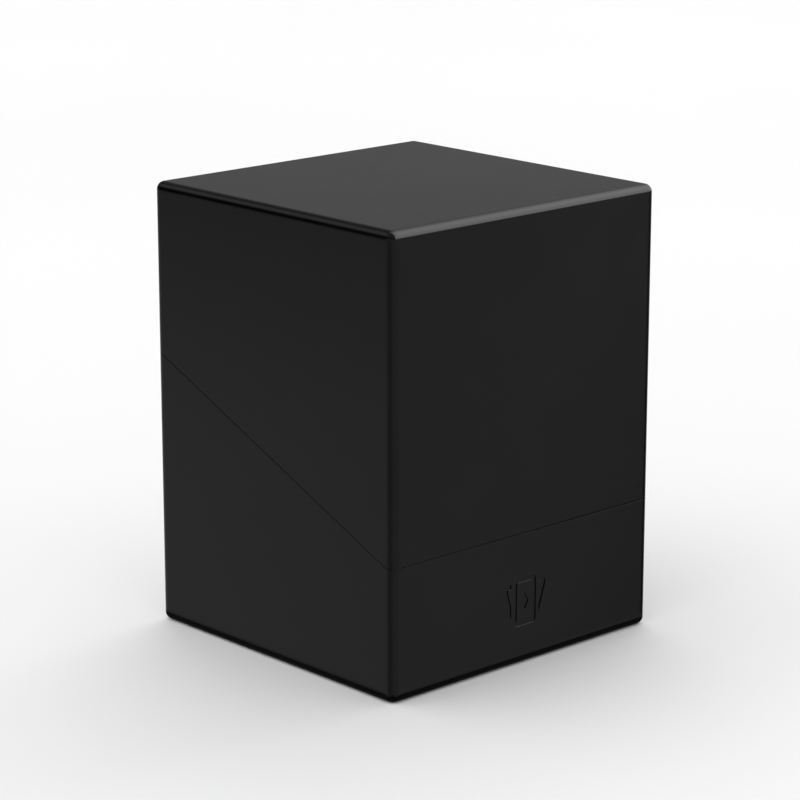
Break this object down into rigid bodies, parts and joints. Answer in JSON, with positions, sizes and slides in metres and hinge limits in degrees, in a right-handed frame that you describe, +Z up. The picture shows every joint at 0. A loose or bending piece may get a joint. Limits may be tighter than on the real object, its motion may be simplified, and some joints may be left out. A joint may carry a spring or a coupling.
{
  "type": "card deck box",
  "caption": "Rigid black plastic card deck box with a slanted seam, a lift-off lid and an inner frame that holds and guides the cards.",
  "frame": {"origin": "centre of the footprint, on the surface that the box stands on", "axes": "+Z up, the way the lid lifts; -Y is the front, with the low side of the seam and the sunken emblem; X across the front"},
  "size_m": [0.077, 0.076, 0.0994],
  "materials": {
    "shell_black": "fine satin grain, rounded edges a little smoother",
    "frame_black": "fine matte grain, with faint sliding wear on the collar"
  },
  "bodies": {
    "base": {"base_shell": "shell_black", "card_frame": "frame_black"},
    "lid": {"lid_shell": "shell_black"}
  },
  "joints": [
    {"name": "lid_lift", "type": "slide", "parent": "base", "child": "lid", "axis": [0, 0, 1], "range_m": [0, 0.07]}
  ]
}
